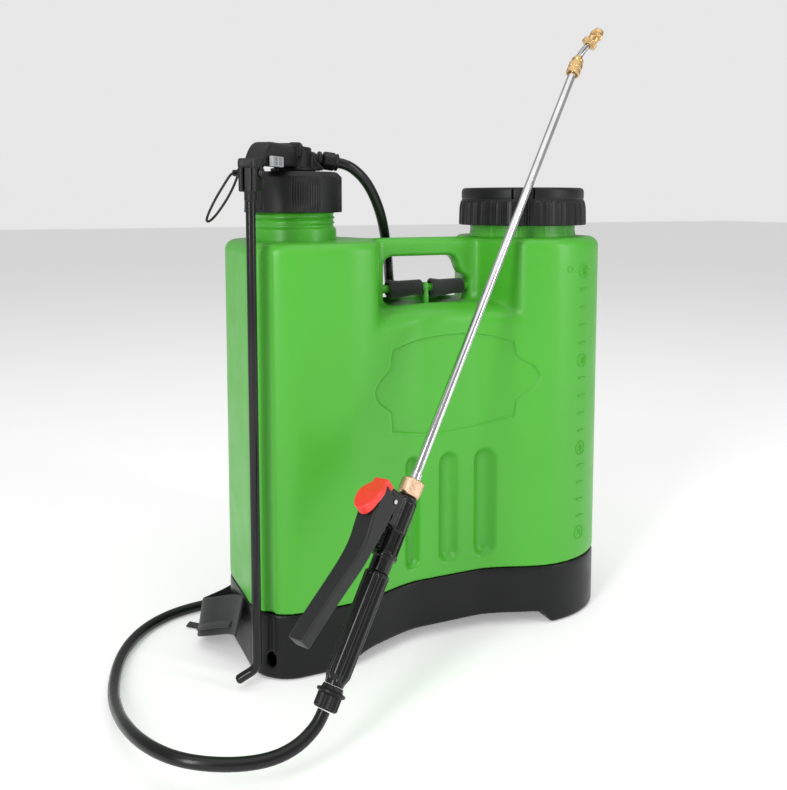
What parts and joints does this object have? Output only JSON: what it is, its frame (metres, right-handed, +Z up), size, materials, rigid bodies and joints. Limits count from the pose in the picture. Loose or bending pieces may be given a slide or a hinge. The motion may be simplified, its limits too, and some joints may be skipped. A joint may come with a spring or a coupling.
{
  "type": "backpack sprayer",
  "caption": "Knapsack sprayer: moulded tank on a plastic base with outside pump drive, hose, trigger gun, lance and adjustable nozzle leaning over the filler cap.",
  "frame": {"origin": "on the floor under the middle of the sprayer's box, the loose hose left out", "axes": "+Z up, +X along the tank from the pump side to the filler side, +Y towards the wearer's back"},
  "size_m": [0.5724, 0.3467, 0.6626],
  "materials": {
    "green_plastic": "satin blow-moulded polyethylene",
    "black_plastic": "lightly textured moulded plastic",
    "black_gloss": "smooth moulded plastic",
    "grey_plastic": "moulded plastic",
    "white_plastic": "moulded plastic",
    "red_plastic": "smooth moulded plastic",
    "steel": "polished",
    "brass": "turned",
    "rubber": "moulded",
    "hose_rubber": "smooth satin",
    "webbing": "woven",
    "pad_fabric": "woven cover over foam"
  },
  "bodies": {
    "tank_unit": {"tank": "green_plastic", "base": "black_plastic", "pump_cylinder": "white_plastic", "foot_valve_seat": "grey_plastic", "strainer": "white_plastic", "filler_gasket": "rubber", "strap_loop_l": "webbing", "strap_loop_r": "webbing", "strap_top_l": "webbing", "strap_top_r": "webbing", "shoulder_pad_l": "pad_fabric", "shoulder_pad_r": "pad_fabric", "strap_low_l": "webbing", "strap_low_r": "webbing", "strap_bundle": "webbing", "hose": "hose_rubber"},
    "pump_rod_unit": {"pump_head": "black_plastic", "clevis_pin": "black_gloss", "air_chamber": "white_plastic", "dip_tube": "white_plastic", "piston": "white_plastic", "piston_cup": "rubber", "outlet_elbow": "black_plastic", "head_insert": "grey_plastic"},
    "drive_rod": {"drive_rod": "black_gloss"},
    "keeper_loop": {"keeper_loop": "black_plastic"},
    "pump_cap": {"pump_cap": "black_plastic"},
    "outlet_nut": {"outlet_nut": "black_plastic"},
    "foot_valve_ball": {"foot_valve_ball": "steel"},
    "filler_cap": {"filler_cap": "black_plastic", "breather_valve": "rubber"},
    "gun": {"gun_body": "black_gloss", "grip_sleeve": "black_plastic", "trigger_pin": "steel", "lance_ferrule": "brass", "lance_tube": "steel"},
    "trigger": {"trigger": "black_plastic"},
    "red_lock": {"red_lock": "red_plastic"},
    "valve_stem": {"valve_stem": "steel"},
    "gun_hose_nut": {"gun_hose_nut": "black_plastic"},
    "lance_nut": {"lance_nut": "brass"},
    "nozzle_swivel": {"lance_connector": "brass", "nozzle_elbow": "steel", "nozzle_collar": "brass"},
    "nozzle_tip": {"nozzle_body": "brass"}
  },
  "joints": [
    {"name": "pump_stroke", "type": "slide", "parent": "tank_unit", "child": "pump_rod_unit", "axis": [0, 0, 1], "range_m": [0, 0.06]},
    {"name": "drive_rod_swing", "type": "hinge", "parent": "pump_rod_unit", "child": "drive_rod", "pos_m": [-0.2001, -0.01588, 0.4896], "axis": [0.7795, -0.6264, 0], "range_deg": [-8, 1]},
    {"name": "keeper_swing", "type": "hinge", "parent": "pump_rod_unit", "child": "keeper_loop", "pos_m": [-0.21062, -0.00742, 0.4896], "axis": [-0.6264, -0.7795, 0], "range_deg": [-50, 26]},
    {"name": "pump_cap_turn", "type": "hinge", "parent": "tank_unit", "child": "pump_cap", "pos_m": [-0.1326, 0.06812, 0.47], "axis": [0, 0, 1], "continuous": true},
    {"name": "outlet_nut_turn", "type": "hinge", "parent": "pump_rod_unit", "child": "outlet_nut", "pos_m": [-0.0939, 0.06396, 0.50459], "axis": [0.9848, -0.1059, -0.1377], "continuous": true},
    {"name": "foot_valve_lift", "type": "slide", "parent": "tank_unit", "child": "foot_valve_ball", "axis": [0, 0, 1], "range_m": [0, 0.008]},
    {"name": "filler_cap_turn", "type": "hinge", "parent": "tank_unit", "child": "filler_cap", "pos_m": [0.1419, 0.06812, 0.45], "axis": [0, 0, 1], "continuous": true},
    {"name": "gun_lift_off", "type": "slide", "parent": "tank_unit", "child": "gun", "axis": [0.1646, -0.9571, 0.2386], "range_m": [0, 0.12]},
    {"name": "trigger_pull", "type": "hinge", "parent": "gun", "child": "trigger", "pos_m": [-0.10749, -0.11117, 0.20174], "axis": [0.3695, -0.925, 0.0887], "range_deg": [0, 12], "stiffness_Nm_per_rad": 0.3, "springref_deg": -17.19},
    {"name": "red_lock_slide", "type": "slide", "parent": "trigger", "child": "red_lock", "axis": [0.7627, 0.3564, 0.5397], "range_m": [0, 0.004]},
    {"name": "valve_stem_travel", "type": "slide", "parent": "gun", "child": "valve_stem", "axis": [-0.5351, -0.2898, -0.7935], "range_m": [0, 0.0019]},
    {"name": "gun_hose_nut_turn", "type": "hinge", "parent": "gun", "child": "gun_hose_nut", "pos_m": [-0.17487, -0.15165, 0.06033], "axis": [0.5351, 0.2898, 0.7935], "continuous": true},
    {"name": "lance_nut_turn", "type": "hinge", "parent": "gun", "child": "lance_nut", "pos_m": [-0.07748, -0.0989, 0.20475], "axis": [0.5351, 0.2898, 0.7935], "continuous": true},
    {"name": "nozzle_swivel_turn", "type": "hinge", "parent": "gun", "child": "nozzle_swivel", "pos_m": [0.1958, 0.04912, 0.61], "axis": [0.5351, 0.2898, 0.7935], "continuous": true},
    {"name": "nozzle_tip_turn", "type": "hinge", "parent": "nozzle_swivel", "child": "nozzle_tip", "pos_m": [0.22255, 0.05282, 0.64665], "axis": [0.6151, -0.206, 0.7611], "continuous": true}
  ],
  "couplings": [
    {"joint": "valve_stem_travel", "follows": "trigger_pull", "m_per_rad": 0.0085}
  ]
}
